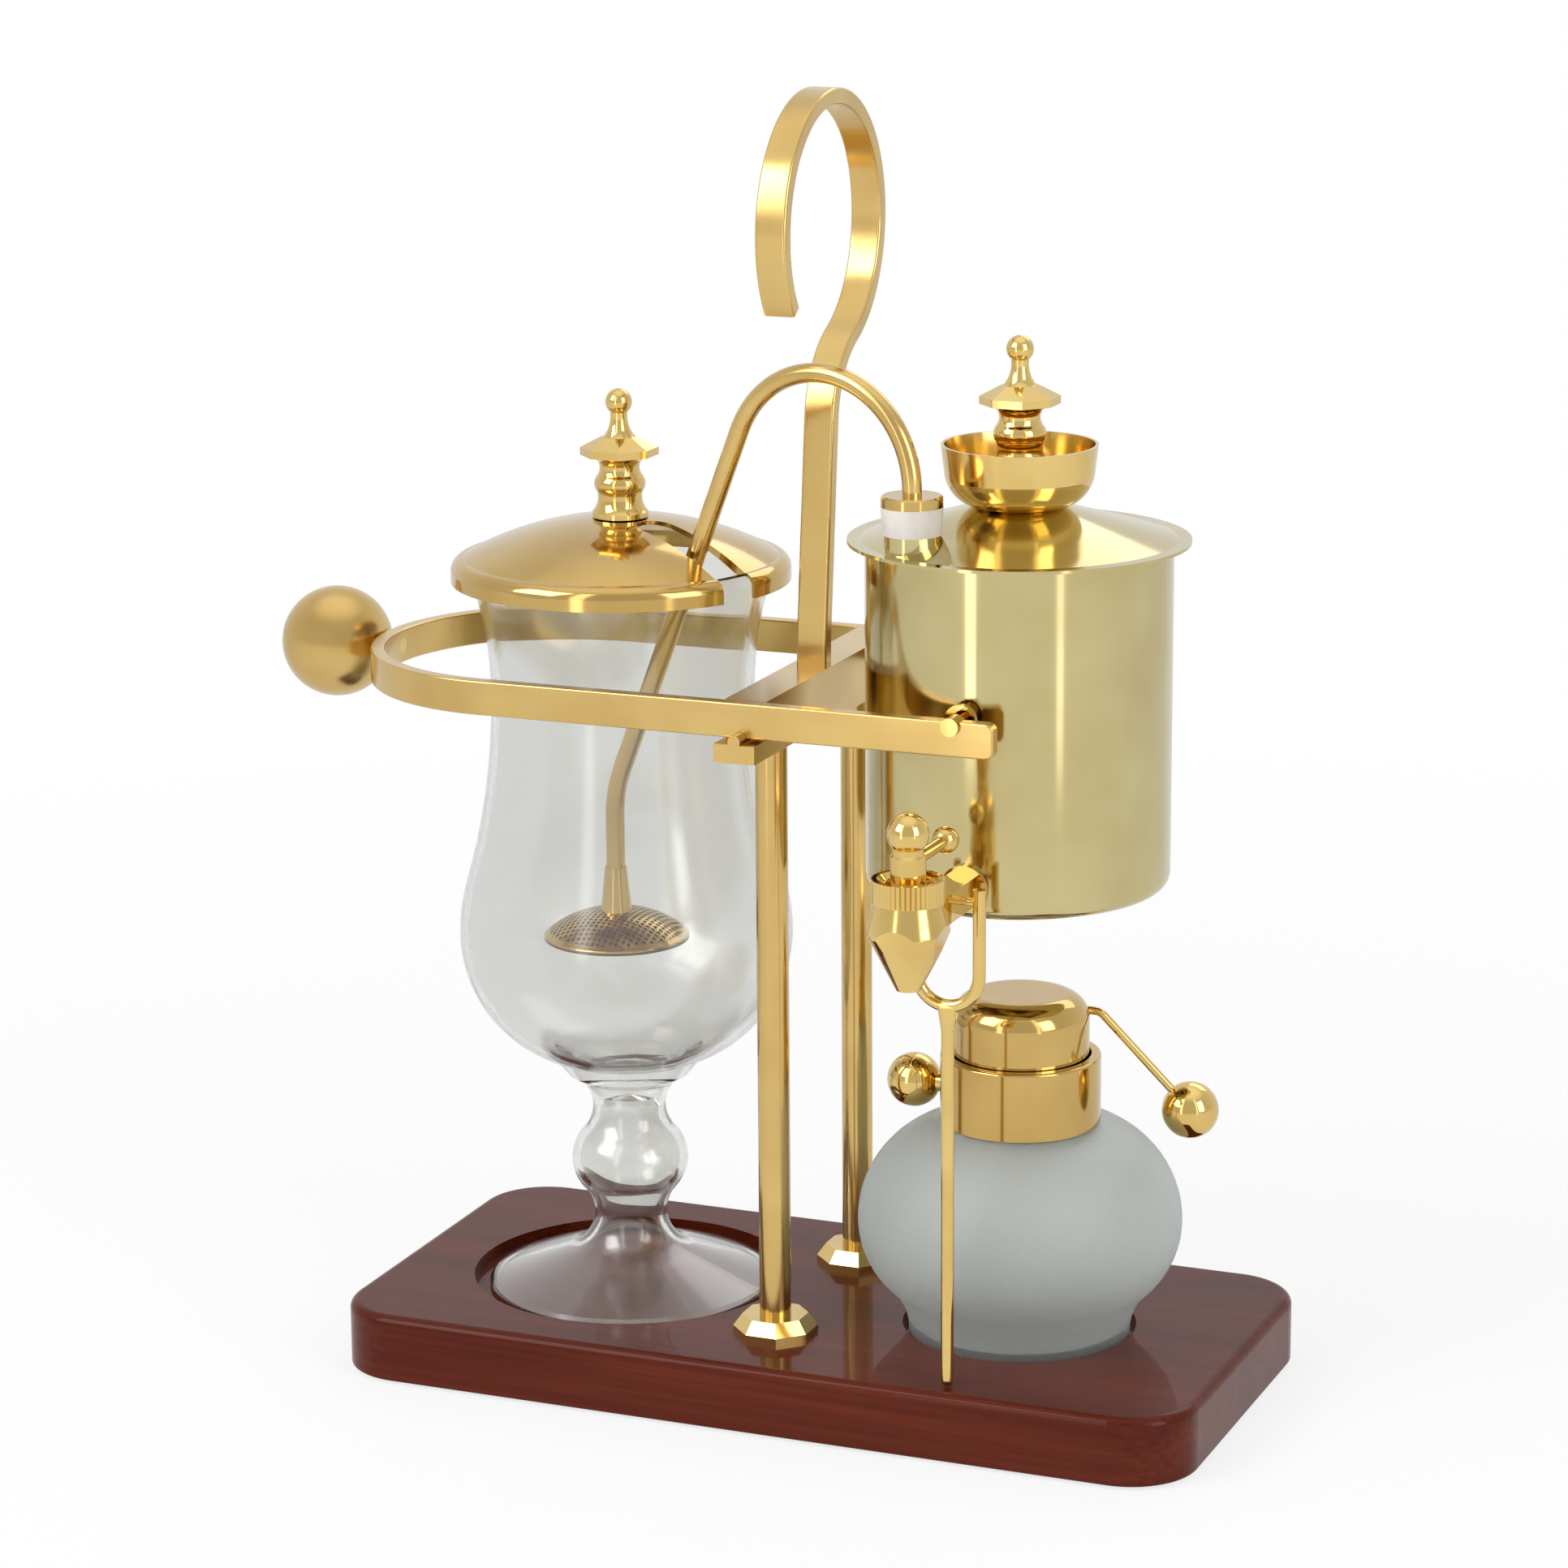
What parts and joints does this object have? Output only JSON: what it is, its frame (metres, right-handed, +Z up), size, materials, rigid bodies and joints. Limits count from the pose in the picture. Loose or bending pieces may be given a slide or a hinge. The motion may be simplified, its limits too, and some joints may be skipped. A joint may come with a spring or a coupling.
{
  "type": "balance siphon coffee maker",
  "caption": "Balance siphon coffee maker: a gold-coloured boiler on a rocking arm with a tap, a lidded glass goblet, a bent tube with a filter and a spirit burner on a wooden board.",
  "frame": {"origin": "centre of the underside of the rubber pad, which is the rest face", "axes": "+Z up, +X from the goblet towards the boiler along the board, -Y the side with the tap"},
  "size_m": [0.3284, 0.177, 0.409],
  "materials": {
    "lacquered_wood": "clear gloss lacquer over red-brown wood",
    "pad_rubber": "thin black anti-slip rubber",
    "satin_brass": "satin gold-coloured brass",
    "pale_brass": "pale polished gold-coloured metal",
    "polished_brass": "polished gold-coloured brass",
    "steel": "plain steel",
    "silicone": "milky silicone",
    "cotton": "undyed cotton",
    "clear_glass": "clear blown glass",
    "frosted_glass": "frosted glass"
  },
  "bodies": {
    "stand": {"base_board": "lacquered_wood", "base_pad": "pad_rubber", "column_front": "satin_brass", "column_rear": "satin_brass", "foot_collar_front": "polished_brass", "foot_collar_rear": "polished_brass", "column_screws": "steel", "column_washers": "steel", "crossbar": "satin_brass", "crossbar_studs": "steel", "handle_hook": "satin_brass", "handle_screw": "steel", "pivot_pins": "steel"},
    "arm": {"balance_arm": "satin_brass", "counterweight_stud": "polished_brass", "counterweight_ball": "satin_brass"},
    "boiler": {"boiler_shell": "pale_brass", "boiler_top": "pale_brass", "filler_funnel": "polished_brass", "siphon_neck": "pale_brass", "trunnion_front": "polished_brass", "trunnion_rear": "polished_brass", "tap_flange": "polished_brass", "tap_pipe": "polished_brass", "tap_body": "polished_brass", "tap_nut": "polished_brass"},
    "tap": {"tap_key": "polished_brass", "tap_lever": "polished_brass"},
    "plug": {"filler_plug": "polished_brass", "filler_seal": "silicone"},
    "siphon": {"siphon_stopper": "silicone", "siphon_cap": "polished_brass", "siphon_tube": "satin_brass", "filter_ferrule": "satin_brass", "filter_dome": "satin_brass", "filter_base": "satin_brass"},
    "prop": {"prop_fork": "polished_brass"},
    "glass": {"goblet": "clear_glass"},
    "lid": {"goblet_lid": "polished_brass", "lid_finial": "polished_brass", "lid_nut": "polished_brass"},
    "burner": {"burner_jar": "frosted_glass", "burner_collar": "polished_brass", "carry_knob": "polished_brass", "wick_tube": "polished_brass", "wick": "cotton", "snuffer_pin": "steel"},
    "snuffer": {"snuffer_cap": "polished_brass", "snuffer_lever": "polished_brass"}
  },
  "joints": [
    {"name": "balance_tilt", "type": "hinge", "parent": "stand", "child": "arm", "pos_m": [-0.001, 0, 0.2202], "axis": [0, -1, 0], "range_deg": [0, 6]},
    {"name": "boiler_swing", "type": "hinge", "parent": "arm", "child": "boiler", "pos_m": [0.0667, 0, 0.2295], "axis": [0, -1, 0], "range_deg": [-6, 0]},
    {"name": "tap_turn", "type": "hinge", "parent": "boiler", "child": "tap", "pos_m": [0.0667, -0.0952, 0.177], "axis": [0, 0, 1], "range_deg": [-90, 90]},
    {"name": "prop_swing", "type": "hinge", "parent": "boiler", "child": "prop", "pos_m": [0.0667, -0.062, 0.177], "axis": [-1, 0, 0], "range_deg": [0, 40]},
    {"name": "plug_lift", "type": "slide", "parent": "boiler", "child": "plug", "axis": [0, 0, 1], "range_m": [0, 0.025]},
    {"name": "siphon_lift", "type": "slide", "parent": "boiler", "child": "siphon", "axis": [0, 0, 1], "range_m": [0, 0.006]},
    {"name": "goblet_lift", "type": "slide", "parent": "stand", "child": "glass", "axis": [0, 0, 1], "range_m": [0, 0.005]},
    {"name": "lid_lift", "type": "slide", "parent": "glass", "child": "lid", "axis": [0, 0, 1], "range_m": [0, 0.03]},
    {"name": "burner_lift", "type": "slide", "parent": "stand", "child": "burner", "axis": [0, 0, 1], "range_m": [0, 0.004]},
    {"name": "snuffer_hinge", "type": "hinge", "parent": "burner", "child": "snuffer", "pos_m": [0.068, 0.0285, 0.11143], "axis": [-1, 0, 0], "range_deg": [0, 100]}
  ],
  "couplings": [
    {"joint": "boiler_swing", "follows": "balance_tilt", "ratio": -1}
  ]
}
